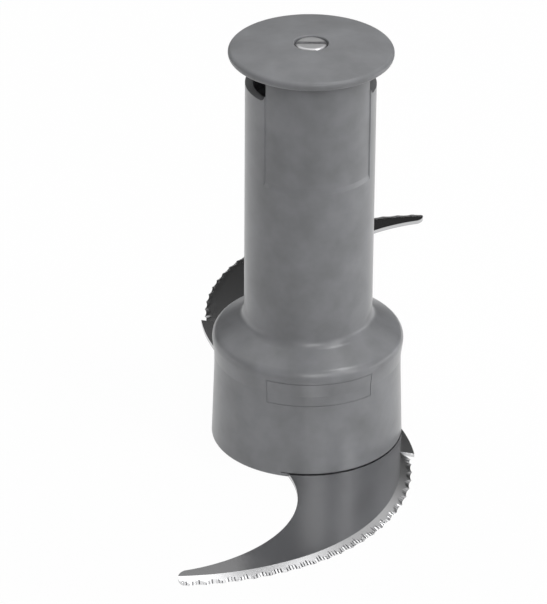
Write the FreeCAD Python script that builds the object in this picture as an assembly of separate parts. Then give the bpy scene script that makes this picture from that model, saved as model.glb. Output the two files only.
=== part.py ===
import FreeCAD, Part
import math
import os

# Food processor cutter: a moulded hub with a drive sleeve, a flanged cap and two serrated blades.
# Millimetres. +Z is up, along the shaft. The origin is on the shaft's axis, in the plane of the bell's
# rim, on which the cutter stands. The two windows under the cap lie on the X axis, and the lower blade
# leaves the bell on the -Y side. Angles are in degrees from +X, counter-clockwise seen from above.
# The hub is one moulding, kept as three simple solids, bell, stem and head, that meet face to face.

Vector = FreeCAD.Vector
ORIGIN = Vector(0, 0, 0)
UP = Vector(0, 0, 1)
FULL_TURN = 360.0
HALF_TURN = 180.0
QUARTER_TURN = 90.0

# How far a cutting tool reaches past the face that it opens
PAST = 1.0

# Bell of the hub, from the rim upwards
rim_radius = 29.4
rim_round = 0.6
waist_radius = 28.6
waist_bottom = 24.0
waist_top = 27.9
shoulder_radius = 29.5
shoulder_slope = 29.5
shoulder_round = 3.5
bell_bore_radius = 23.0
bell_bore_depth = 32.0
bell_bore_round = 2.0
bell_roof_rise = 4.0

# Stem of the hub; its foot is where the shoulder's slope would meet it
stem_radius = 19.55
stem_wall = 2.35
stem_foot = 41.0
stem_foot_round = 3.6
stem_top = 127.7

# Faces of the stem between its windows, which are set back a little and end downwards in a slope
stem_face_bottom = 91.3
stem_face_slope_height = 1.6
stem_face_depth = 0.35

# Windows in the stem's mouth, one on each side
window_width = 22.4
window_height = 8.5
window_round = 1.6

# Block high in the stem, which holds the drive sleeve, and the post on it, which holds the cap's screw
block_bottom = 88.0
block_height = 25.0
post_radius = 6.5
post_gap_to_cap = 0.2

# Outline of the bare panel on the bell, where the mould has a separate insert
panel_angle = -92.3
panel_half_span = 33.4
panel_bottom = 24.7
panel_top = 32.4
panel_line_width = 0.3
panel_line_depth = 0.15

# Drive sleeve
sleeve_bore_radius = 8.0
sleeve_wall = 2.0
sleeve_length = 20.0
sleeve_mouth_bevel = 0.6
sleeve_groove_depth = 0.7
sleeve_groove_width = 2.0
sleeve_groove_count = 2
drive_slot_width = 5.2
drive_slot_height = 7.0

# Cap, which rises from its rim to the recess in its middle
cap_radius = 24.65
cap_rim_thickness = 2.6
cap_rim_round = 1.25
cap_rise = 1.8
cap_recess_radius = 5.15
cap_recess_round = 0.35
cap_floor = 2.0
cap_boss_radius = 9.0
cap_register_width = 1.6
cap_register_depth = 2.0
cap_register_clearance = 0.1

# Screw of size M5 with its washer and insert
screw_radius = 2.45
screw_length = 16.0
screw_end_bevel = 0.5
screw_head_radius = 4.75
screw_head_height = 3.0
screw_head_round = 1.0
screw_head_sunk = 0.1
screw_slot_width = 1.7
screw_slot_depth = 1.5
screw_slot_angle = -10.0
screw_hole_clearance = 0.3
washer_radius = 5.0
washer_thickness = 1.0
insert_radius = 3.5
insert_length = 10.0
insert_clearance = 0.05
insert_groove_depth = 0.4
insert_groove_width = 2.0
hole_below_screw = 1.5

# Blade: a flat plate whose ground and scalloped edge is two arcs, from the first tooth to the tip
blade_thickness = 1.2
blade_spacing = 28.2
first_tooth_reach = 36.41
first_tooth_angle = -39.53
edge_radius = 64.88
edge_start = -5.0
edge_turn = -71.6
edge_far_radius = 85.7
edge_end = -95.3
first_tooth_width = 2.8
tooth_pitch = 4.85
scallop_depth = 0.6

# Heel of the blade, on a circle about the edge's own centre
heel_proud = 1.3
heel_corner = -3.8
heel_notch = -2.3
heel_notch_depth = 3.0

# Tip of the blade, from the end of its edge: how far on and how far in its point and its back lie
tip_point_on = 1.91
tip_point_in = 3.34
tip_back_on = -0.22
tip_back_in = 6.75

# Hollow back: where it starts in the bell's wall, and how each end heads into the curve between them,
# with the reach of each heading as a ratio of the straight distance
back_start_angle = -115.6
back_start_heading = -74.3
back_start_ratio = 0.462
back_end_heading = -172.9
back_end_ratio = 0.352
bevel_width = 3.7
bevel_land = 0.2
bevel_overrun = 10.0

# Root of a blade, moulded into the bell's wall
root_cover = 1.4
root_first = -116.0
root_last = 4.0
root_hole_radius = 1.4
root_hole_angles = (-92.0, -62.0, -32.0)
relief_depth = 0.7
relief_height = 0.35
relief_last = -12.0

# Sizes that follow from the ones above
stem_bore_radius = stem_radius - stem_wall
stem_division = stem_foot + stem_foot_round
hub_reach = max(rim_radius, waist_radius, shoulder_radius, stem_radius) + PAST
window_bottom = stem_top - window_height
sleeve_radius = sleeve_bore_radius + sleeve_wall
sleeve_top = block_bottom + sleeve_length
block_top = block_bottom + block_height
cap_rim_top = stem_top + cap_rim_thickness
cap_top = cap_rim_top + cap_rise
screw_head_bottom = cap_top - screw_head_sunk - screw_head_height
screw_end = screw_head_bottom - screw_length
screw_hole_radius = screw_radius + screw_hole_clearance
cap_floor_top = screw_head_bottom - washer_thickness
cap_floor_bottom = cap_floor_top - cap_floor
post_top = cap_floor_bottom - post_gap_to_cap
insert_bottom = post_top - insert_length
root_inner_radius = bell_bore_radius + root_cover
root_hole_circle = (root_inner_radius + waist_radius) / 2
edge_length = edge_radius * math.radians(edge_start - edge_turn) + edge_far_radius * math.radians(
    edge_turn - edge_end)


def polar(centre, radius, angle):
    """Point in a level plane at a radius and an angle from a centre."""
    turn = math.radians(angle)
    return centre + Vector(radius * math.cos(turn), radius * math.sin(turn), 0)


def arc(centre, radius, first, last):
    """Arc edge about a centre, from one angle to another."""
    middle = (first + last) / 2
    return Part.Arc(*[polar(centre, radius, angle) for angle in (first, middle, last)]).toShape()


def line(start, end):
    """Straight edge."""
    return Part.LineSegment(start, end).toShape()


def rounded_corner(before, corner, after, radius):
    """Arc that rounds a corner, with the two points where it meets the corner's sides."""
    to_before = (before - corner).normalize()
    to_after = (after - corner).normalize()
    half_angle = to_before.getAngle(to_after) / 2
    to_centre = (to_before + to_after).normalize()
    start = corner + to_before * (radius / math.tan(half_angle))
    end = corner + to_after * (radius / math.tan(half_angle))
    middle = corner + to_centre * (radius / math.sin(half_angle) - radius)
    return Part.Arc(start, middle, end).toShape(), start, end


def turned(corners):
    """Solid turned about the Z axis, from corners that are (radius, height) or (radius, height, round)."""
    points = [Vector(corner[0], 0, corner[1]) for corner in corners]
    pieces = []
    for index, corner in enumerate(corners):
        if len(corner) > 2:
            after = points[(index + 1) % len(points)]
            pieces.append(rounded_corner(points[index - 1], points[index], after, corner[2]))
        else:
            pieces.append((None, points[index], points[index]))
    edges = []
    for index, (edge, start, end) in enumerate(pieces):
        if edge:
            edges.append(edge)
        edges.append(line(end, pieces[(index + 1) % len(pieces)][1]))
    return Part.Face(Part.Wire(edges)).revolve(ORIGIN, UP, FULL_TURN)


def cylinder(radius, bottom, top):
    """Cylinder on the Z axis between two heights."""
    return Part.makeCylinder(radius, top - bottom, Vector(0, 0, bottom))


def sector(centre, section, first, last):
    """Block swept about an upright axis between two angles, from (radius, height) corners."""
    points = [centre + Vector(radius, 0, height) for radius, height in section]
    block = Part.Face(Part.makePolygon(points + points[:1])).revolve(centre, UP, last - first)
    block.rotate(centre, UP, first)
    return block


def ring_section(inner_radius, outer_radius, bottom, top):
    """Corners of an upright rectangle, for a sector."""
    return [(inner_radius, bottom), (outer_radius, bottom), (outer_radius, top), (inner_radius, top)]


def bar(length, width, bottom, top, angle):
    """Bar across the Z axis, with its length along an angle."""
    block = Part.makeBox(length, width, top - bottom, Vector(-length / 2, -width / 2, bottom))
    block.rotate(ORIGIN, UP, angle)
    return block


def edge_centre():
    """Centre of the edge's near arc, from the place of the first tooth."""
    return polar(polar(ORIGIN, first_tooth_reach, first_tooth_angle), -edge_radius, edge_start)


def edge_far_centre():
    """Centre of the edge's far arc, which goes on from the near one without a corner."""
    return polar(edge_centre(), edge_radius - edge_far_radius, edge_turn)


def edge_point(distance, depth):
    """Point at a distance along the edge from the first tooth, and at a depth inside it."""
    beyond = distance - edge_radius * math.radians(edge_start - edge_turn)
    if beyond > 0:
        angle = edge_turn - math.degrees(beyond / edge_far_radius)
        return polar(edge_far_centre(), edge_far_radius - depth, angle)
    return polar(edge_centre(), edge_radius - depth, edge_start - math.degrees(distance / edge_radius))


def heel():
    """Edges of the heel from the root to the first tooth, and the point where they start."""
    centre = edge_centre()
    heel_radius = edge_radius + heel_proud
    root_side = polar(ORIGIN, 1, root_last)
    along = centre.dot(root_side)
    reach = along + math.sqrt(along ** 2 + heel_radius ** 2 - centre.Length ** 2)
    start = root_side * reach
    start_angle = math.degrees(math.asin((start.y - centre.y) / heel_radius))
    notch = polar(centre, edge_radius - heel_notch_depth, heel_notch)
    return start, [
        arc(centre, heel_radius, start_angle, heel_corner),
        line(polar(centre, heel_radius, heel_corner), notch),
        line(notch, edge_point(0, 0)),
    ]


def scallops():
    """Edges from tooth to tooth, and the plain end of the edge."""
    edges = []
    tooth = 0.0
    next_tooth = first_tooth_width
    while next_tooth < edge_length:
        middle = (tooth + next_tooth) / 2
        points = [edge_point(tooth, 0), edge_point(middle, scallop_depth), edge_point(next_tooth, 0)]
        edges.append(Part.Arc(*points).toShape())
        tooth = next_tooth
        next_tooth += tooth_pitch
    return edges + [line(edge_point(tooth, 0), edge_point(edge_length, 0))]


def hollow_back(start, end):
    """Smooth edge from the tip to the root."""
    distance = start.distanceToPoint(end)
    into_end = polar(end, -distance * back_end_ratio, back_end_heading)
    into_start = polar(start, distance * back_start_ratio, back_start_heading)
    curve = Part.BezierCurve()
    curve.setPoles([end, into_end, into_start, start])
    return curve.toShape()


def blade_outline():
    """Outline of a blade seen from above: heel, scalloped edge, tip, hollow back and root."""
    edge_tip = edge_point(edge_length, 0)
    outward = polar(ORIGIN, 1, edge_end)
    onward = polar(ORIGIN, 1, edge_end - QUARTER_TURN)
    tip_point = edge_tip + onward * tip_point_on - outward * tip_point_in
    back_tip = edge_tip + onward * tip_back_on - outward * tip_back_in
    back_start = polar(ORIGIN, root_hole_circle, back_start_angle)
    root_corner = polar(ORIGIN, root_inner_radius, root_first)
    heel_start, heel_edges = heel()
    return Part.Wire(heel_edges + scallops() + [
        Part.Arc(edge_tip, tip_point, back_tip).toShape(),
        hollow_back(back_start, back_tip),
        line(back_start, root_corner),
        arc(ORIGIN, root_inner_radius, root_first, root_last),
        line(polar(ORIGIN, root_inner_radius, root_last), heel_start),
    ])


def bevel_tool(centre, radius, first, last):
    """What the grinding takes off the top face along one arc of the edge."""
    slope = (blade_thickness - bevel_land) / bevel_width
    inside = radius - bevel_width
    outside = radius + heel_proud + PAST
    above = blade_thickness + PAST
    low = blade_thickness - (outside - inside) * slope
    section = [(inside, blade_thickness), (outside, low), (outside, above), (inside, above)]
    return sector(centre, section, last, first)


def blade():
    """Blade at the height of the rim."""
    plate = Part.Face(blade_outline()).extrude(UP * blade_thickness)
    plate = plate.cut(bevel_tool(edge_centre(), edge_radius, heel_corner, edge_turn))
    plate = plate.cut(bevel_tool(edge_far_centre(), edge_far_radius, edge_turn, edge_end - bevel_overrun))
    for angle in root_hole_angles:
        hole = cylinder(root_hole_radius, -PAST, blade_thickness + PAST)
        hole.translate(polar(ORIGIN, root_hole_circle, angle))
        plate = plate.cut(hole)
    return plate


def upper(piece):
    """Copy of the lower blade, turned half round and raised."""
    copy = piece.copy()
    copy.rotate(ORIGIN, UP, HALF_TURN)
    copy.translate(UP * blade_spacing)
    return copy


def sleeve_blank():
    """Drive sleeve before its slots are cut, with grooves outside that the hub's plastic fills."""
    blank = turned([
        (sleeve_bore_radius + sleeve_mouth_bevel, block_bottom),
        (sleeve_radius, block_bottom),
        (sleeve_radius, sleeve_top),
        (sleeve_bore_radius, sleeve_top),
        (sleeve_bore_radius, block_bottom + sleeve_mouth_bevel),
    ])
    groove_step = (sleeve_length - drive_slot_height) / (sleeve_groove_count + 1)
    for number in range(1, sleeve_groove_count + 1):
        middle = block_bottom + drive_slot_height + number * groove_step
        bottom = middle - sleeve_groove_width / 2
        top = middle + sleeve_groove_width / 2
        groove = cylinder(sleeve_radius + PAST, bottom, top)
        groove = groove.cut(cylinder(sleeve_radius - sleeve_groove_depth, bottom, top))
        blank = blank.cut(groove)
    return blank


def drive_sleeve():
    """Steel bush that fits on the motor's shaft, with two driving slots in its mouth."""
    slot_top = block_bottom + drive_slot_height
    slots = bar(2 * (sleeve_radius + PAST), drive_slot_width, block_bottom - PAST, slot_top, 0)
    return sleeve_blank().cut(slots)


def screw_insert():
    """Threaded brass insert, with a groove outside that the hub's plastic fills."""
    insert = cylinder(insert_radius, insert_bottom, post_top)
    groove_bottom = (insert_bottom + post_top - insert_groove_width) / 2
    groove_top = groove_bottom + insert_groove_width
    groove = cylinder(insert_radius + PAST, groove_bottom, groove_top)
    groove = groove.cut(cylinder(insert_radius - insert_groove_depth, groove_bottom, groove_top))
    bore = cylinder(screw_radius + insert_clearance, insert_bottom - PAST, post_top + PAST)
    return insert.cut(groove).cut(bore)


def hub_outside(inset):
    """Outer form of the hub as a full solid, with its radii smaller by an inset."""
    slope = math.tan(math.radians(shoulder_slope))
    shoulder_height = stem_foot - (shoulder_radius - stem_radius) * slope
    return turned([
        (0, 0),
        (rim_radius - inset, 0, rim_round),
        (waist_radius - inset, waist_bottom),
        (waist_radius - inset, waist_top),
        (shoulder_radius - inset, shoulder_height, shoulder_round),
        (stem_radius - inset, stem_foot, stem_foot_round),
        (stem_radius - inset, stem_top),
        (0, stem_top),
    ])


def windows():
    """Cutter for the two windows, with round lower corners."""
    height = window_height + PAST
    length = 2 * (stem_radius + PAST)
    cutter = bar(length, window_width, window_bottom, window_bottom + height, 0)
    lower_edges = [
        edge for edge in cutter.Edges
        if abs(edge.BoundBox.ZMax - window_bottom) < PAST / 2 and edge.BoundBox.XLength > stem_radius
    ]
    return cutter.makeFillet(window_round, lower_edges)


def stem_faces():
    """Cutter that sets back the stem's faces between the windows."""
    face_radius = stem_radius - stem_face_depth
    skin = turned([
        (stem_radius, stem_face_bottom),
        (stem_radius + PAST, stem_face_bottom),
        (stem_radius + PAST, stem_top + PAST),
        (face_radius, stem_top + PAST),
        (face_radius, stem_face_bottom + stem_face_slope_height),
    ])
    length = 2 * (stem_radius + 2 * PAST)
    return skin.cut(bar(length, window_width, stem_face_bottom - PAST, stem_top + 2 * PAST, 0))


def panel_lines():
    """Fine frame of grooves around the bare panel on the bell."""
    half_line = panel_line_width / 2
    half_line_span = math.degrees(half_line / waist_radius)

    def window_block(grow):
        section = ring_section(
            bell_bore_radius, shoulder_radius + PAST,
            panel_bottom - grow * half_line, panel_top + grow * half_line)
        span = panel_half_span + grow * half_line_span
        return sector(ORIGIN, section, panel_angle - span, panel_angle + span)

    skin = hub_outside(0).cut(hub_outside(panel_line_depth))
    return skin.common(window_block(1).cut(window_block(-1)))


def hub(lower_blade, upper_blade, insert):
    """Moulded hub: bell, hollow stem and drive block in one piece, moulded round the blades and bushes."""
    hollow = turned([
        (0, -PAST),
        (bell_bore_radius, -PAST),
        (bell_bore_radius, bell_bore_depth, bell_bore_round),
        (stem_bore_radius, bell_bore_depth + bell_roof_rise),
        (stem_bore_radius, block_bottom),
        (0, block_bottom),
    ])
    body = hub_outside(0).cut(hollow)
    body = body.cut(cylinder(stem_bore_radius, block_top, stem_top + PAST))
    body = body.cut(windows()).cut(stem_faces())
    body = body.fuse(cylinder(post_radius, block_top, post_top))
    body = body.cut(cylinder(sleeve_bore_radius, block_bottom - PAST, sleeve_top))
    body = body.cut(cylinder(sleeve_radius, block_bottom - PAST, block_bottom + drive_slot_height))
    body = body.cut(sleeve_blank())
    body = body.cut(cylinder(screw_hole_radius, screw_end - hole_below_screw, post_top + PAST))
    body = body.cut(insert)
    body = body.cut(lower_blade).cut(upper_blade)
    relief = ring_section(
        rim_radius - relief_depth, rim_radius + PAST, blade_thickness, blade_thickness + relief_height)
    body = body.cut(sector(ORIGIN, relief, root_first, relief_last))
    return body.cut(panel_lines()).removeSplitter()


def hub_between(whole_hub, bottom, top):
    """Part of the hub between two heights."""
    return whole_hub.common(cylinder(hub_reach, bottom, top))


def top_cap():
    """Flanged cap with a recess for the screw's head, and a ring that centres it in the stem."""
    register_radius = stem_bore_radius - cap_register_clearance
    register_inside = register_radius - cap_register_width
    register_bottom = stem_top - cap_register_depth
    return turned([
        (screw_hole_radius, cap_floor_bottom),
        (cap_boss_radius, cap_floor_bottom),
        (cap_boss_radius, stem_top),
        (register_inside, stem_top),
        (register_inside, register_bottom),
        (register_radius, register_bottom),
        (register_radius, stem_top),
        (cap_radius, stem_top, cap_rim_round),
        (cap_radius, cap_rim_top, cap_rim_round),
        (cap_recess_radius, cap_top, cap_recess_round),
        (cap_recess_radius, cap_floor_top),
        (screw_hole_radius, cap_floor_top),
    ])


def cap_washer():
    """Flat washer under the screw's head."""
    washer = cylinder(washer_radius, cap_floor_top, screw_head_bottom)
    return washer.cut(cylinder(screw_hole_radius, cap_floor_top - PAST, screw_head_bottom + PAST))


def cap_screw():
    """Slotted screw with a round-edged head."""
    head_top = screw_head_bottom + screw_head_height
    screw = turned([
        (0, screw_end),
        (screw_radius - screw_end_bevel, screw_end),
        (screw_radius, screw_end + screw_end_bevel),
        (screw_radius, screw_head_bottom),
        (screw_head_radius, screw_head_bottom),
        (screw_head_radius, head_top, screw_head_round),
        (0, head_top),
    ])
    slot_length = 2 * (screw_head_radius + PAST)
    return screw.cut(bar(slot_length, screw_slot_width, head_top - screw_slot_depth, head_top + PAST,
                         screw_slot_angle))


def main():
    os.makedirs("parts", exist_ok=True)
    lower_blade = blade()
    upper_blade = upper(lower_blade)
    insert = screw_insert()
    whole_hub = hub(lower_blade, upper_blade, insert)
    nodes = {
        "hub_bell": hub_between(whole_hub, -PAST, stem_division),
        "hub_stem": hub_between(whole_hub, stem_division, block_bottom),
        "hub_head": hub_between(whole_hub, block_bottom, stem_top + PAST),
        "top_cap": top_cap(),
        "cap_screw": cap_screw(),
        "cap_washer": cap_washer(),
        "screw_insert": insert,
        "drive_sleeve": drive_sleeve(),
        "lower_blade": lower_blade,
        "upper_blade": upper_blade,
    }
    for name, shape in nodes.items():
        shape.exportStep(f"parts/{name}.step")
        print(name, len(shape.Solids), shape.isValid(), round(shape.Volume))


main()
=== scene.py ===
# %% [markdown]
# # A food processor's cutter, piece by piece
#
# The real object is a grey moulded hub with a bell-shaped foot, a flanged cap held by one slotted screw,
# and two thin scimitar blades with a ground, scalloped edge. The hub, cap, screw and sleeve come from the
# CAD model as they are, and get their finishes here. The two blades are built again in this file, because
# the grinding of their edge is too fine for the CAD model.
#
# Blender works in metres, and sizes of the object are easier to read in millimetres, so one constant turns
# one into the other.

# %% Load the CAD model as a fixed frame
import math

import bmesh
import bpy
from mathutils import Matrix, Vector


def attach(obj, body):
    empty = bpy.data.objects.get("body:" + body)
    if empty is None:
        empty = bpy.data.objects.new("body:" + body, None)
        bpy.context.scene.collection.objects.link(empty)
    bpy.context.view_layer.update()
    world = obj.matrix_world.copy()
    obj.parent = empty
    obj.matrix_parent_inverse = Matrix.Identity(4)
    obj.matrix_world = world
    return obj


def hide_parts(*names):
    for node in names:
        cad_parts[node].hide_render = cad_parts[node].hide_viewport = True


MM = 0.001

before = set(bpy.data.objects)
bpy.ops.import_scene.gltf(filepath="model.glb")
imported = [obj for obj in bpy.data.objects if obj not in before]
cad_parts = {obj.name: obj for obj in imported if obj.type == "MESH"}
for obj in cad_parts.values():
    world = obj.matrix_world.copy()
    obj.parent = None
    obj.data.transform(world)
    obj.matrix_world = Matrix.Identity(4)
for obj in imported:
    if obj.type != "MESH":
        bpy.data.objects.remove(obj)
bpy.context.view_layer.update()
print("CAD nodes:", ", ".join(sorted(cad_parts)))

# %% [markdown]
# ## The camera
#
# A long lens from a distance keeps the stem's sides nearly parallel, as studio pictures of small parts do.
# The camera looks down by 28.6 degrees. Its lens length follows from the picture's height in pixels and
# from the focal length in pixels, for a sensor 36 mm along the picture's longer side. The Standard view
# shows colours as they are calculated, so that white paper stays white.

# %% Camera
PICTURE_SIZE = (547, 604)
FOCAL_PIXELS = 4243.1
SENSOR = 36.0
CAMERA_PLACE = (-0.21129, -1.11463, 0.6643)
CAMERA_TURN = math.radians(-10.2)
CAMERA_TILT = math.radians(28.636)
CAMERA_ROLL = math.radians(0.443)

camera_data = bpy.data.cameras.new("camera")
camera_data.sensor_width = SENSOR
camera_data.lens = FOCAL_PIXELS * SENSOR / max(PICTURE_SIZE)
camera = bpy.data.objects.new("camera", camera_data)
camera.matrix_world = (
    Matrix.Translation(CAMERA_PLACE)
    @ Matrix.Rotation(CAMERA_TURN, 4, "Z")
    @ Matrix.Rotation(math.pi / 2 - CAMERA_TILT, 4, "X")
    @ Matrix.Rotation(CAMERA_ROLL, 4, "Z")
)
bpy.context.scene.collection.objects.link(camera)
bpy.context.scene.camera = camera
bpy.context.scene.view_settings.view_transform = "Standard"
print("lens", round(camera_data.lens, 1), "mm")

# %% [markdown]
# ## Small helpers for finishes
#
# Colours are given as sRGB hex values, and shaders calculate with linear light, so one function turns
# one into the other. Another adds a node, sets it up and fills or links its inputs, and a third starts a
# new material with nothing in it but its output.

# %% Colour and node helpers
def linear(hex_colour):
    """Linear colour, with alpha, from an sRGB hex value such as "7a7b7d"."""
    channels = [int(hex_colour[i:i + 2], 16) / 255 for i in (0, 2, 4)]
    return [c / 12.92 if c <= 0.04045 else ((c + 0.055) / 1.055) ** 2.4 for c in channels] + [1.0]


def add_node(tree, kind, inputs=None, **settings):
    """New node with its settings made and its inputs filled or linked."""
    node = tree.nodes.new(kind)
    for name, value in settings.items():
        setattr(node, name, value)
    for name, value in (inputs or {}).items():
        if isinstance(value, bpy.types.NodeSocket):
            tree.links.new(value, node.inputs[name])
        else:
            node.inputs[name].default_value = value
    return node


def new_material(name):
    """Empty material, its node tree and its output node."""
    material = bpy.data.materials.new(name)
    material.use_nodes = True
    material.node_tree.nodes.clear()
    return material, material.node_tree, material.node_tree.nodes.new("ShaderNodeOutputMaterial")


print("mid grey", [round(c, 3) for c in linear("7a7b7d")])

# %% [markdown]
# ## Grey moulded nylon
#
# The hub and cap are injection-moulded in a filled nylon. The tool's surface is finely blasted, which gives
# a satin skin with broad, soft highlights. Where the plastic cooled unevenly, its shade and its surface vary
# a little over 10 to 15 mm, and that is what makes it look cloudy. Hands hold the cutter by its cap, whose
# skin is worn duller. The blasted skin also scatters light at grazing angles, which a little sheen stands
# for. Its grain is about 0.1 mm, too fine for a picture, so it is drawn at 0.5 mm.

# %% Moulded nylon
CLOUD_SIZE, WAVE_DEPTH = 12 * MM, 0.25 * MM
GRAIN_SIZE, GRAIN_DEPTH = 0.5 * MM, 0.02 * MM


def moulded_nylon(name, roughness):
    """Satin nylon whose shade and surface vary a little."""
    material, tree, output = new_material(name)
    place = add_node(tree, "ShaderNodeTexCoord").outputs["Object"]
    cloud = add_node(tree, "ShaderNodeTexNoise", {
        "Vector": place, "Scale": 1 / CLOUD_SIZE, "Detail": 3.0, "Roughness": 0.55})
    grain = add_node(tree, "ShaderNodeTexNoise", {
        "Vector": place, "Scale": 1 / GRAIN_SIZE, "Detail": 2.0, "Roughness": 0.5})
    cloudy = add_node(tree, "ShaderNodeMapRange", {
        "Value": cloud.outputs["Fac"], "From Min": 0.3, "From Max": 0.7}).outputs["Result"]
    colour = add_node(tree, "ShaderNodeMix", {
        "Factor": cloudy, "A": linear("707173"), "B": linear("828386")},
        data_type="RGBA", blend_type="MIX")
    rough = add_node(tree, "ShaderNodeMapRange", {
        "Value": cloudy, "To Min": roughness, "To Max": roughness + 0.03})
    waves = add_node(tree, "ShaderNodeBump", {
        "Height": cloud.outputs["Fac"], "Strength": 0.5, "Distance": WAVE_DEPTH})
    skin = add_node(tree, "ShaderNodeBump", {
        "Height": grain.outputs["Fac"], "Strength": 0.35, "Distance": GRAIN_DEPTH,
        "Normal": waves.outputs["Normal"]})
    shader = add_node(tree, "ShaderNodeBsdfPrincipled", {
        "Base Color": colour.outputs["Result"], "Roughness": rough.outputs["Result"],
        "IOR": 1.53, "Sheen Weight": 0.3, "Sheen Roughness": 0.3, "Normal": skin.outputs["Normal"]})
    tree.links.new(shader.outputs["BSDF"], output.inputs["Surface"])
    return material


nylon = moulded_nylon("moulded_nylon_grey", 0.28)
worn_nylon = moulded_nylon("moulded_nylon_grey_worn", 0.42)
print(nylon.name, worn_nylon.name)

# %% [markdown]
# ## Stainless steel, polished and ground
#
# The blades are stamped from cold-rolled stainless sheet and tumbled, so their faces are smooth, but not
# quite mirrors. The edge is ground afterwards, which leaves it brighter and a little rougher, with a grain
# of about 0.1 mm that is drawn at 0.35 mm. Where the wheel cuts deep, the groove is rough, and its dark grey
# colour is painted shade that stands for the shadow inside the groove.
# The screw, the sleeve and the brass insert are turned on a lathe, so their grain is squeezed into rings.

# %% Metal finishes
TURNED = (1, 1, 6)


def metal(name, colour, roughness, grain_size, grain_depth, squeeze=(1, 1, 1)):
    """Metal with a fine grain, its sizes in millimetres, squeezed by a weight for each axis."""
    material, tree, output = new_material(name)
    place = add_node(tree, "ShaderNodeTexCoord").outputs["Object"]
    squeezed = add_node(tree, "ShaderNodeVectorMath", {0: place, 1: squeeze}, operation="MULTIPLY")
    grain = add_node(tree, "ShaderNodeTexNoise", {
        "Vector": squeezed.outputs[0], "Scale": 1 / (grain_size * MM), "Detail": 2.0})
    rough = add_node(tree, "ShaderNodeMapRange", {
        "Value": grain.outputs["Fac"], "To Min": roughness * 0.85, "To Max": roughness * 1.15})
    bump = add_node(tree, "ShaderNodeBump", {
        "Height": grain.outputs["Fac"], "Strength": 0.4, "Distance": grain_depth * MM})
    shader = add_node(tree, "ShaderNodeBsdfPrincipled", {
        "Base Color": linear(colour), "Metallic": 1.0, "Roughness": rough.outputs["Result"],
        "Normal": bump.outputs["Normal"]})
    tree.links.new(shader.outputs["BSDF"], output.inputs["Surface"])
    return material


polished_steel = metal("stainless_steel_polished", "c9c9ca", 0.16, 0.6, 0.004)
ground_steel = metal("stainless_steel_ground", "e2e2e3", 0.22, 0.35, 0.006)
# Dark grey steel for the grooves: painted shade that stands for the shadow inside them.
grooved_steel_painted_shade = metal("stainless_steel_grooved_painted_shade", "5c5c5f", 0.35, 0.35, 0.01)
turned_steel = metal("stainless_steel_turned", "cfcfd0", 0.34, 0.4, 0.01, TURNED)
turned_brass = metal("brass_turned", "d6bd7a", 0.3, 0.4, 0.01, TURNED)
for finish in (polished_steel, ground_steel, grooved_steel_painted_shade, turned_steel, turned_brass):
    print(finish.name)

# %% [markdown]
# ## Finishes on the CAD pieces
#
# The moulded and turned pieces keep the CAD model's own meshes, because their shapes are exact there. A mesh
# takes its finish from its list of materials, so each list is emptied and gets one finish. The plain blades
# get one as well, although finer ones take their place further on.

# %% Finishes on the CAD pieces
finishes = {
    "hub_bell": nylon, "hub_stem": nylon, "hub_head": nylon, "top_cap": worn_nylon,
    "cap_screw": turned_steel, "cap_washer": turned_steel,
    "screw_insert": turned_brass, "drive_sleeve": turned_steel,
    "lower_blade": polished_steel, "upper_blade": polished_steel,
}
for node_name, finish in finishes.items():
    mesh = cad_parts[node_name].data
    mesh.materials.clear()
    mesh.materials.append(finish)
    print(node_name, "->", finish.name)

# %% [markdown]
# ## The blade's edge, as a line to walk along
#
# The edge is one smooth curve of two arcs. Everything on it, such as teeth and grinding, is easiest to
# place by two numbers: how far along the edge it is from the first tooth, and how deep inside the edge.
# One function turns these two numbers into a point. All sizes are in millimetres until the mesh is made.

# %% Edge line
BLADE_THICKNESS = 1.2
FIRST_TOOTH_REACH, FIRST_TOOTH_ANGLE = 36.41, -39.53
EDGE_RADIUS, FAR_RADIUS = 64.88, 85.7
EDGE_START, EDGE_TURN, EDGE_END = -5.0, -71.6, -95.3


def around(centre, radius, angle):
    """Point at a radius and an angle in degrees from a centre, in the blade's plane."""
    turn = math.radians(angle)
    return centre + radius * Vector((math.cos(turn), math.sin(turn)))


SHAFT = Vector((0, 0))
FIRST_TOOTH = around(SHAFT, FIRST_TOOTH_REACH, FIRST_TOOTH_ANGLE)
EDGE_CENTRE = around(FIRST_TOOTH, -EDGE_RADIUS, EDGE_START)
FAR_CENTRE = around(EDGE_CENTRE, EDGE_RADIUS - FAR_RADIUS, EDGE_TURN)
NEAR_LENGTH = EDGE_RADIUS * math.radians(EDGE_START - EDGE_TURN)
EDGE_LENGTH = NEAR_LENGTH + FAR_RADIUS * math.radians(EDGE_TURN - EDGE_END)


def edge_point(along, depth):
    """Point at a distance along the edge and a depth inside it."""
    if along > NEAR_LENGTH:
        return around(FAR_CENTRE, FAR_RADIUS - depth,
                      EDGE_TURN - math.degrees((along - NEAR_LENGTH) / FAR_RADIUS))
    return around(EDGE_CENTRE, EDGE_RADIUS - depth, EDGE_START - math.degrees(along / EDGE_RADIUS))


print("edge", round(EDGE_LENGTH, 1), "mm long, tip at", [round(c, 1) for c in edge_point(EDGE_LENGTH, 0)])

# %% [markdown]
# ## Two grinds on one edge
#
# A wheel first grinds a plain bevel, 3.7 mm wide. A second wheel then cuts one shallow scallop after another
# at a steeper slope, so that between two scallops the bevel reaches out to a tooth. Ribs on that wheel leave
# fine grooves across the edge, some deeper than others: none near the notch, and faint ones near the tip. At
# each place along the edge both cuts are straight lines in the cross-section, so the lower of the two is
# the surface.

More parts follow.
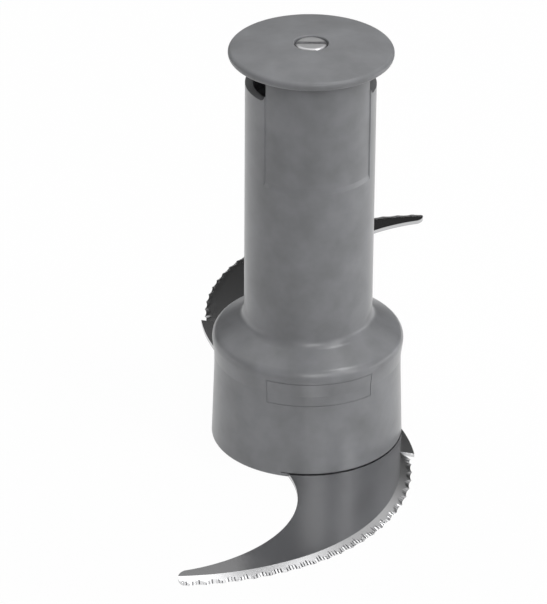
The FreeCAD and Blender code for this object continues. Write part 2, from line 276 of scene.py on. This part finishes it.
# %% Cross-section of the ground edge
BEVEL_WIDTH, BEVEL_WIDTH_AT_NOTCH, BEVEL_GROWS = 3.7, 3.0, 12
BEVEL_LAND, SHARP_LAND = 0.12, 0.02
TOOTH_PITCH, FIRST_PITCH = 4.85, 2.8
SCALLOP_DEPTH, SCALLOP_SLOPE = 0.5, 0.5
GROOVE_PITCH, GROOVE_HALF_WIDTH = TOOTH_PITCH / 5, 0.24
GROOVE_DEPTHS = (0.24, 0.1, 0.18, 0.07, 0.22, 0.14, 0.05, 0.2, 0.12, 0.17, 0.08)
GROOVE_START, GROOVE_FULL, GROOVE_SHOWS = 12, 45, 0.03
GROOVE_FADES, GROOVE_FAINT, FAINTEST = 65, 100, 0.35
NOTCH_ALONG, NOTCH_DEPTH = -3.06, 3.0


def share_between(value, first, last):
    """How far a value is from the first to the last: 0 before them and 1 past them."""
    return min(max((value - first) / (last - first), 0), 1)


def bevel_width(along):
    """Width of the bevel, which narrows towards the notch at its start."""
    share = share_between(along, NOTCH_ALONG, NOTCH_ALONG + BEVEL_GROWS)
    return BEVEL_WIDTH_AT_NOTCH + (BEVEL_WIDTH - BEVEL_WIDTH_AT_NOTCH) * share * share * (3 - 2 * share)


def scallop(along):
    """How far the second grind reaches in at the underside."""
    start, width = (0, FIRST_PITCH) if along < FIRST_PITCH else (FIRST_PITCH, TOOTH_PITCH)
    share = ((along - start) % width) / width if along > 0 else 0
    return SCALLOP_DEPTH * 4 * share * (1 - share)


def groove(along):
    """Depth of the fine groove at a place along the edge."""
    number = round(along / GROOVE_PITCH)
    off_centre = abs(along - number * GROOVE_PITCH) / GROOVE_HALF_WIDTH
    begun = share_between(along, GROOVE_START, GROOVE_FULL)
    faded = share_between(along, GROOVE_FADES, GROOVE_FAINT)
    strength = begun * (1 - (1 - FAINTEST) * faded)
    return strength * GROOVE_DEPTHS[number % len(GROOVE_DEPTHS)] * max(1 - off_centre, 0)


def second_grind(along, depth):
    """Height of the scalloped and grooved cut above the underside."""
    return SCALLOP_SLOPE * (depth - scallop(along)) - groove(along)


def bevel(along, depth):
    """Height of the plain bevel above the underside."""
    return BEVEL_LAND + (BLADE_THICKNESS - BEVEL_LAND) / bevel_width(along) * depth


def edge_height(along, depth):
    """Height of the ground surface above the underside."""
    return max(min(bevel(along, depth), second_grind(along, depth)), SHARP_LAND)


def crease(along):
    """Depth at which the second grind meets the bevel."""
    rise = SCALLOP_SLOPE - (BLADE_THICKNESS - BEVEL_LAND) / bevel_width(along)
    return (BEVEL_LAND + SCALLOP_SLOPE * scallop(along) + groove(along)) / rise


print("second grind is", round(crease(0), 2), "to", round(crease(5.2), 2), "mm wide")

# %% [markdown]
# ## The heel
#
# The blade stands a little proud of the edge at its heel, with a notch between them that lets the wheel run
# out. The heel is an arc about the edge's own centre, so that it runs along with the edge. It starts where
# that arc meets the last side of the root.

# %% Heel
HEEL_PROUD, HEEL_CORNER, HEEL_STEPS = 1.3, -3.8, 40
ROOT_LAST = 4.0


def arc_points(centre, radius, first, last, count):
    """Points along an arc, from one angle to another, both ends included."""
    return [around(centre, radius, first + (last - first) * i / count) for i in range(count + 1)]


def angle_of(point):
    """Direction of a point as seen from zero, in degrees."""
    return math.degrees(math.atan2(point.y, point.x))


def heel_line():
    """From the root's last side round the heel to its corner."""
    radius = EDGE_RADIUS + HEEL_PROUD
    side = around(SHAFT, 1, ROOT_LAST)
    reach = EDGE_CENTRE.dot(side)
    reach += math.sqrt(reach ** 2 + radius ** 2 - EDGE_CENTRE.length_squared)
    return arc_points(EDGE_CENTRE, radius, angle_of(side * reach - EDGE_CENTRE), HEEL_CORNER, HEEL_STEPS)


print("heel starts at", [round(c, 1) for c in heel_line()[0]])

# %% [markdown]
# ## The tip
#
# A rounded tip doesn't catch on the bowl. Its circle runs through three points: the end of the edge, the
# foremost point, and the place where the back begins. Two of them are given by how far they lie on from the
# edge's end and how far in, so that the tip moves with the edge.

# %% Tip
TIP_POINT, TIP_BACK, TIP_CLEAR = (1.91, 3.34), (-0.22, 6.75), 0.05
CURVE_STEPS = 96


def circle_through(a, b, c):
    """Centre of the circle through three points."""
    d = 2 * (a.x * (b.y - c.y) + b.x * (c.y - a.y) + c.x * (a.y - b.y))
    squares = [p.length_squared for p in (a, b, c)]
    return Vector((
        squares[0] * (b.y - c.y) + squares[1] * (c.y - a.y) + squares[2] * (a.y - b.y),
        squares[0] * (c.x - b.x) + squares[1] * (a.x - c.x) + squares[2] * (b.x - a.x))) / d


def tip_circle():
    """The round of the tip: its centre, and the points that it runs through."""
    end = edge_point(EDGE_LENGTH, 0)
    outward = around(SHAFT, 1, EDGE_END)
    onward = around(SHAFT, 1, EDGE_END - 90)
    point, back = [end + onward * on - outward * inside for on, inside in (TIP_POINT, TIP_BACK)]
    return circle_through(end, point, back), end, back


TIP_CENTRE, TIP_END, TIP_BACK_POINT = tip_circle()
TIP_RADIUS = (TIP_END - TIP_CENTRE).length


def tip_line():
    """Round of the tip from the bevel's inner line to the back."""
    first, last = angle_of(TIP_END - TIP_CENTRE), angle_of(TIP_BACK_POINT - TIP_CENTRE)
    last -= 360 if last > first else 0
    points = arc_points(TIP_CENTRE, TIP_RADIUS, first, last, CURVE_STEPS)
    return [p for p in points if FAR_RADIUS - (p - FAR_CENTRE).length > BEVEL_WIDTH + TIP_CLEAR]


print("tip radius", round(TIP_RADIUS, 2), "mm")

# %% [markdown]
# ## The hollow back and the root
#
# The back is one long hollow curve, and a Bezier curve draws it well: each end has a heading and a reach.
# The root is a ring with three holes. The hub's plastic is moulded round it and through them, so that the
# blade can't pull out.

# %% Back and root
BACK_START_ANGLE, BACK_START_HEADING, BACK_START_RATIO = -115.6, -74.3, 0.462
BACK_END_HEADING, BACK_END_RATIO = -172.9, 0.352
ROOT_RADIUS, ROOT_FIRST, ROOT_STEPS = 24.4, -116.0, 60
ROOT_HOLE_CIRCLE, ROOT_HOLE_RADIUS, HOLE_STEPS = 26.5, 1.4, 24
ROOT_HOLE_ANGLES = (-92, -62, -32)


def back_line():
    """From the tip along the hollow back to the root."""
    start = around(SHAFT, ROOT_HOLE_CIRCLE, BACK_START_ANGLE)
    distance = (start - TIP_BACK_POINT).length
    poles = [TIP_BACK_POINT, around(TIP_BACK_POINT, -BACK_END_RATIO * distance, BACK_END_HEADING),
             around(start, BACK_START_RATIO * distance, BACK_START_HEADING), start]
    points = []
    for i in range(CURVE_STEPS):
        t = (i + 1) / CURVE_STEPS
        weights = ((1 - t) ** 3, 3 * (1 - t) ** 2 * t, 3 * (1 - t) * t ** 2, t ** 3)
        points.append(sum((p * w for p, w in zip(poles, weights)), Vector((0, 0))))
    return points


def root_line():
    """Inner side of the root's ring."""
    return arc_points(SHAFT, ROOT_RADIUS, ROOT_FIRST, ROOT_LAST, ROOT_STEPS)


def root_holes():
    """Holes in the root, each as a closed line of points."""
    return [arc_points(around(SHAFT, ROOT_HOLE_CIRCLE, angle), ROOT_HOLE_RADIUS, 0, 360, HOLE_STEPS)[:-1]
            for angle in ROOT_HOLE_ANGLES]


print(len(back_line()), "points on the back,", len(root_holes()), "holes in the root")

# %% [markdown]
# ## Columns across the bevel
#
# A column is the cross-section at one place: the bevel's inner line, the crease where the second grind
# begins, the sharp edge, and the underside below it. Where the outline cuts the bevel off, at the notch and
# round the tip, the column ends early.

# %% Columns
COLUMN_STEP = 0.05
LEAST_COLUMN = 0.3
HAIR = 0.01


def outline_depth(along):
    """Depth of the blade's outline: at the notch, along the scallops, or round the tip."""
    if along < 0:
        return NOTCH_DEPTH * along / NOTCH_ALONG
    edge = scallop(along) + groove(along) / SCALLOP_SLOPE
    if along <= EDGE_LENGTH:
        return edge
    ray = around(SHAFT, 1, EDGE_TURN - math.degrees((along - NEAR_LENGTH) / FAR_RADIUS))
    reach = (TIP_CENTRE - FAR_CENTRE).dot(ray)
    gap = TIP_RADIUS ** 2 - (TIP_CENTRE - FAR_CENTRE).length_squared + reach ** 2
    return max(edge, FAR_RADIUS - reach - math.sqrt(gap)) if gap > 0 else BEVEL_WIDTH


def edge_columns():
    """Cross-sections from the notch to the tip, each as (along, depth, height) from the inside out."""
    columns = []
    along = NOTCH_ALONG + HAIR
    while outline_depth(along) < bevel_width(along) - LEAST_COLUMN or along < EDGE_LENGTH:
        inner = bevel_width(along)
        outer = min(outline_depth(along), inner - HAIR)
        middle = crease(along) if outer < crease(along) < inner else (inner + outer) / 2
        columns.append([(along, inner, BLADE_THICKNESS), (along, middle, edge_height(along, middle)),
                        (along, outer, edge_height(along, outer)), (along, outer, 0)])
        along += COLUMN_STEP
    return columns


print(len(edge_columns()), "columns")

# %% [markdown]
# ## The ground faces
#
# Neighbouring columns are joined by narrow faces, which keeps each groove real. Each column gives three of
# them: the bevel, the second grind and the sharp edge below it. They are ground, or grooved where a rib of
# the wheel has cut, and the grooved faces get a dark grey steel that is painted shade inside the groove.

# %% Ground faces
BLADE_FINISHES = (polished_steel, ground_steel, grooved_steel_painted_shade)
GROUND, GROOVED = 1, 2


def corner(bm, point, height):
    """Vertex in metres, from a point and a height in millimetres."""
    return bm.verts.new((point.x * MM, point.y * MM, height * MM))


def ground_faces(bm):
    """Faces along the edge, and the vertices of each column that they join."""
    columns = edge_columns()
    grid = [[corner(bm, edge_point(along, depth), height) for along, depth, height in column]
            for column in columns]
    for column, here, beyond in zip(columns, grid, grid[1:]):
        # Faces in a groove get the dark grey steel, which is painted shade.
        finishes = (GROUND, GROOVED if groove(column[0][0]) > GROOVE_SHOWS else GROUND, GROUND)
        for row, finish in enumerate(finishes):
            face = bm.faces.new((here[row], here[row + 1], beyond[row + 1], beyond[row]))
            face.material_index = finish
    return grid


print(sum(groove(column[0][0]) > GROOVE_SHOWS for column in edge_columns()), "columns are grooved")

# %% [markdown]
# ## The blade's mesh
#
# The flat top and the underside are filled between their outlines and the root's holes, and walls join the
# two. The outline is the same list of points at both heights, so the walls need no fitting. All of these
# faces are polished, as the sheet was before it was ground.

# %% Blade mesh
def wall(bm, tops, lows):
    """Faces between an upper and a lower row of vertices."""
    for i in range(len(tops) - 1):
        bm.faces.new((tops[i + 1], tops[i], lows[i], lows[i + 1]))


def fill(bm, loops):
    """Flat faces inside the first loop of vertices and outside the others."""
    edges = []
    for loop in loops:
        for a, b in zip(loop, loop[1:] + loop[:1]):
            edges.append(bm.edges.get((a, b)) or bm.edges.new((a, b)))
    bmesh.ops.triangle_fill(bm, edges=edges, use_beauty=True)


def blade_mesh(name):
    """Blade as a closed mesh in metres, with its underside in the plane of the hub's rim."""
    bm = bmesh.new()
    grid = ground_faces(bm)
    levels = []
    for height, row in ((BLADE_THICKNESS, 0), (0, 3)):
        heel = [corner(bm, p, height) for p in heel_line()]
        rest = [corner(bm, p, height) for p in tip_line() + back_line() + root_line()]
        rings = [[corner(bm, p, height) for p in hole] for hole in root_holes()]
        fill(bm, [heel + [column[row] for column in grid] + rest] + rings)
        levels.append((heel, rest, rings))
    (top_heel, top_rest, top_rings), (low_heel, low_rest, low_rings) = levels
    wall(bm, top_heel, low_heel)
    wall(bm, top_rest + top_heel[:1], low_rest + low_heel[:1])
    for top_ring, low_ring in zip(top_rings, low_rings):
        wall(bm, top_ring + top_ring[:1], low_ring + low_ring[:1])
    bm.faces.new([top_heel[-1], low_heel[-1]] + grid[0][::-1]).material_index = GROUND
    bm.faces.new([low_rest[0], top_rest[0]] + grid[-1]).material_index = GROUND
    bmesh.ops.recalc_face_normals(bm, faces=bm.faces)
    mesh = bpy.data.meshes.new(name)
    bm.to_mesh(mesh)
    bm.free()
    for finish in BLADE_FINISHES:
        mesh.materials.append(finish)
    return mesh


blade_shape = blade_mesh("blade")
print("blade mesh:", len(blade_shape.polygons), "faces")

# %% [markdown]
# ## Two blades in place
#
# The lower blade lies in the plane of the bell's rim. The upper one has the same shape, turned half round
# and raised, so that the two sweep different layers of the food. Its mesh is a copy with the turn built in.
# Each blade takes the place of its plain CAD node.

# %% Two blades in place
BLADE_SPACING = 28.2


def place_blade(name, mesh, node):
    """Blade as an object that stands for a CAD node and moves with the hub."""
    piece = bpy.data.objects.new(name, mesh)
    bpy.context.scene.collection.objects.link(piece)
    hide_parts(node)
    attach(piece, "root")
    return piece


lower = place_blade("ground_blade_lower", blade_shape, "lower_blade")
raised = blade_shape.copy()
raised.transform(Matrix.Translation((0, 0, BLADE_SPACING * MM)) @ Matrix.Rotation(math.pi, 4, "Z"))
upper = place_blade("ground_blade_upper", raised, "upper_blade")
print(lower.name, upper.name, "in place")

# %% [markdown]
# ## Floor
#
# The floor is a white sweep that a camera sees as pure white, with only a trace of the object's shadow.
# Soft light sees paper whose colour is painted to fade to grey towards the front. Reflections see a painted
# glow that fades the same way. Both stand in for a sweep that is lit from behind. The sides of the stem
# and the bell mirror its white part and catch a bright line, and what faces down and forward stays darker,
# more so the higher it is.

# %% White sweep
# The paper's fade from front to back is painted shade, both in its colour and in its glow.
PAPER_FRONT, PAPER_BACK = -420 * MM, 60 * MM
PAPER_DARKEST, PAPER_LIGHTEST = 0.2, 0.95
FLOOR_WHITENESS = 0.97


def white_sweep():
    """Paper that looks white to a camera and keeps a trace of shadow, with a painted fade to grey in its
    colour and in a glow that reflections see.
    """
    material, tree, output = new_material("white_sweep")
    place = add_node(tree, "ShaderNodeTexCoord").outputs["Object"]
    away = add_node(tree, "ShaderNodeSeparateXYZ", {"Vector": place}).outputs["Y"]
    painted_fade = add_node(tree, "ShaderNodeMapRange", {
        "Value": away, "From Min": PAPER_FRONT, "From Max": PAPER_BACK,
        "To Min": PAPER_DARKEST, "To Max": PAPER_LIGHTEST})
    paper = add_node(tree, "ShaderNodeBsdfDiffuse", {"Color": painted_fade.outputs["Result"]})
    # Painted glow, which reflections see in place of the paper.
    mirrored = add_node(tree, "ShaderNodeEmission", {"Color": painted_fade.outputs["Result"], "Strength": 1.0})
    white = add_node(tree, "ShaderNodeEmission", {"Color": (1, 1, 1, 1), "Strength": 1.0})
    rays = add_node(tree, "ShaderNodeLightPath").outputs
    reflected = add_node(tree, "ShaderNodeMath", {
        0: rays["Is Glossy Ray"], 1: rays["Is Transmission Ray"]}, operation="MAXIMUM")
    seen = add_node(tree, "ShaderNodeMath", {
        0: rays["Is Camera Ray"], 1: FLOOR_WHITENESS}, operation="MULTIPLY")
    unseen = add_node(tree, "ShaderNodeMixShader", {
        "Fac": reflected.outputs[0], 1: paper.outputs[0], 2: mirrored.outputs[0]})
    floor_shader = add_node(tree, "ShaderNodeMixShader", {
        "Fac": seen.outputs[0], 1: unseen.outputs[0], 2: white.outputs[0]})
    tree.links.new(floor_shader.outputs[0], output.inputs["Surface"])
    return material


paper = white_sweep()
print(paper.name)

# %% Floor
FLOOR_REACH = 6.0
FLOOR_DROP = 0.2 * MM


def stage_plane(name, corners, material):
    """Flat piece of the set, turned to face the camera."""
    mesh = bpy.data.meshes.new(name)
    mesh.from_pydata(corners, [], [(0, 1, 2, 3)])
    mesh.materials.append(material)
    plane = bpy.data.objects.new(name, mesh)
    plane.rotation_euler.z = CAMERA_TURN
    bpy.context.scene.collection.objects.link(plane)
    return plane


floor = stage_plane("floor", [
    (FLOOR_REACH * x, FLOOR_REACH * y, 0) for x, y in ((-1, -1), (1, -1), (1, 1), (-1, 1))], paper)
floor.location.z = -FLOOR_DROP
print("floor", 2 * FLOOR_REACH, "m wide")

# %% [markdown]
# ## The card that the steel mirrors
#
# Polished steel has hardly any colour of its own: it shows what it mirrors. Seen from the camera, the
# blades' flat faces mirror the lower part of a card behind the object, which is dark, and the bevels mirror
# its upper part, higher up the nearer they are to the tip. So the card's levels of grey, each at a height in
# millimetres, set how bright each stretch of the edge is. Only reflections see the card.

# %% Mirror card
CARD_DISTANCE, CARD_REACH, CARD_HEIGHT = 300 * MM, 1200 * MM, 900 * MM
CARD_STEPS = ((0, 0.02), (170, 0.04), (190, 0.08), (213, 0.2), (231, 0.32), (262, 0.5), (305, 0.7),
              (350, 0.55), (430, 0.42), (490, 0.44), (590, 0.7), (650, 1.15), (700, 2.0), (760, 2.3),
              (900, 1.4))


def grey_steps(tree, steps, value):
    """Ramp through levels of grey, and the strength that the brightest of them needs."""
    ramp = add_node(tree, "ShaderNodeValToRGB", {"Fac": value})
    top = max(level for _, level in steps)
    for step, (position, level) in enumerate(steps):
        stops = ramp.color_ramp.elements
        stop = stops[step] if step < 2 else stops.new(position)
        stop.position = position
        stop.color = [level / top] * 3 + [1]
    return ramp.outputs["Color"], top


def mirror_card():
    """Glow in levels of grey by height, which only reflections see."""
    material, tree, output = new_material("mirror_card")
    place = add_node(tree, "ShaderNodeTexCoord").outputs["Object"]
    up = add_node(tree, "ShaderNodeSeparateXYZ", {"Vector": place}).outputs["Z"]
    share = add_node(tree, "ShaderNodeMath", {0: up, 1: CARD_HEIGHT}, operation="DIVIDE").outputs[0]
    steps = [(height * MM / CARD_HEIGHT, level) for height, level in CARD_STEPS]
    colour, strength = grey_steps(tree, steps, share)
    glow = add_node(tree, "ShaderNodeEmission", {"Color": colour, "Strength": strength})
    clear = add_node(tree, "ShaderNodeBsdfTransparent")
    mirrored = add_node(tree, "ShaderNodeLightPath").outputs["Is Glossy Ray"]
    mixed = add_node(tree, "ShaderNodeMixShader", {"Fac": mirrored, 1: clear.outputs[0], 2: glow.outputs[0]})
    tree.links.new(mixed.outputs[0], output.inputs["Surface"])
    return material


card = stage_plane("card", [
    (CARD_REACH * x, CARD_DISTANCE, CARD_HEIGHT * z)
    for x, z in ((-1, 0), (1, 0), (1, 1), (-1, 1))], mirror_card())
print("card", CARD_HEIGHT, "m high")

# %% [markdown]
# ## Room
#
# The room gives weak soft light from all sides, as white walls do. A camera sees it as pure white, so that
# the wall behind the object and the floor run into one another.

# %% Room
ROOM_LIGHT = 0.38


def white_room():
    """World that lights the object weakly and that a camera sees as white."""
    world = bpy.data.worlds.new("room")
    world.use_nodes = True
    tree = world.node_tree
    tree.nodes.clear()
    room = add_node(tree, "ShaderNodeBackground", {"Color": (1, 1, 1, 1), "Strength": ROOM_LIGHT})
    white = add_node(tree, "ShaderNodeBackground", {"Color": (1, 1, 1, 1), "Strength": 1.0})
    seen = add_node(tree, "ShaderNodeLightPath").outputs["Is Camera Ray"]
    shown = add_node(tree, "ShaderNodeMixShader", {"Fac": seen, 1: room.outputs[0], 2: white.outputs[0]})
    add_node(tree, "ShaderNodeOutputWorld", {"Surface": shown.outputs[0]})
    return world


bpy.context.scene.world = white_room()
print("room light", ROOM_LIGHT)

# %% [markdown]
# ## Softboxes
#
# Two softboxes stand in front to the right, one high and one tall, and make the highlights on the foot and
# on the shoulder. One in front and one above the back of the object fill in, and a weak one lifts the left
# side. Two low strips at the sides light the edges of the stem and the slope where its set-back faces end.
# Each row gives a direction in degrees, a distance and a size in metres, and how bright the lamp's face is.

# %% Softboxes
AIM = Vector((0, 0, 60 * MM))
SOFTBOXES = (
    ("softbox_high", -20, 62, 1.2, 0.25, 0.35, 11.0),
    ("softbox_tall", -38, 30, 1.2, 0.3, 1.0, 3.5),
    ("softbox_front", -80, 35, 1.2, 0.5, 0.5, 4.2),
    ("softbox_top", 90, 70, 1.2, 1.0, 0.75, 1.25),
    ("softbox_left", 180, 50, 1.2, 0.6, 0.6, 0.44),
    ("strip_left", 172, -4, 0.42, 0.35, 0.05, 1.8),
    ("strip_right", 5, -4, 0.42, 0.35, 0.05, 3.2),
)


def softbox(name, azimuth, elevation, distance, width, height, radiance):
    """Lamp that faces the object, in a direction as the camera sees it: 0 is right and -90 in front."""
    data = bpy.data.lights.new(name, "AREA")
    data.shape = "RECTANGLE"
    data.size, data.size_y = width, height
    data.energy = radiance * math.pi * width * height
    lamp = bpy.data.objects.new(name, data)
    turn, lift = math.radians(azimuth) + CAMERA_TURN, math.radians(elevation)
    lamp.location = AIM + distance * Vector(
        (math.cos(lift) * math.cos(turn), math.cos(lift) * math.sin(turn), math.sin(lift)))
    lamp.rotation_euler = (lamp.location - AIM).to_track_quat("Z", "Y").to_euler()
    lamp.visible_camera = False
    bpy.context.scene.collection.objects.link(lamp)
    return lamp


for row in SOFTBOXES:
    lamp = softbox(*row)
    print(lamp.name, "gives", round(lamp.data.energy, 2), "W")
